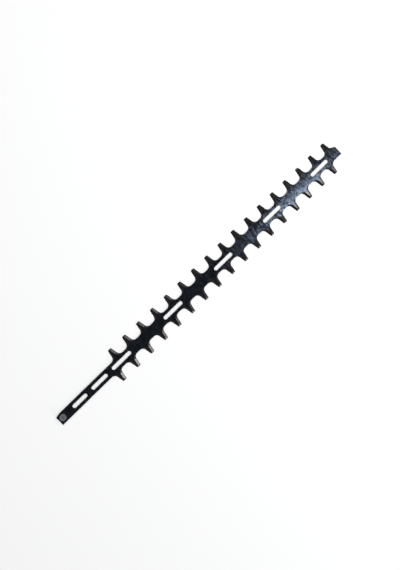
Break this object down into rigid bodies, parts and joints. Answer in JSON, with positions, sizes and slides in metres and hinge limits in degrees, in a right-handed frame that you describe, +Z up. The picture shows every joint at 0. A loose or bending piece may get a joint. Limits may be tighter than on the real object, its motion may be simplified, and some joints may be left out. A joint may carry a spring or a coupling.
{
  "type": "hedge trimmer blade",
  "caption": "Flat double-sided hedge trimmer blade: a slotted, blackened steel bar with bevelled teeth along both edges and a round drive boss riveted in the end of its shank.",
  "frame": {"origin": "middle of the blade's length and width, on the flat face that it lies on", "axes": "+X along the blade towards the nose, +Z up out of the bevelled face, +Y to the left row of teeth"},
  "size_m": [0.726, 0.0596, 0.0085],
  "materials": {
    "blackened_steel": "blackened, satin, with hardened brown-black teeth and ground bevels",
    "grey_steel": "turned and phosphated, matt"
  },
  "bodies": {
    "root": {"blade_bar": "blackened_steel", "drive_boss": "grey_steel"}
  },
  "joints": []
}
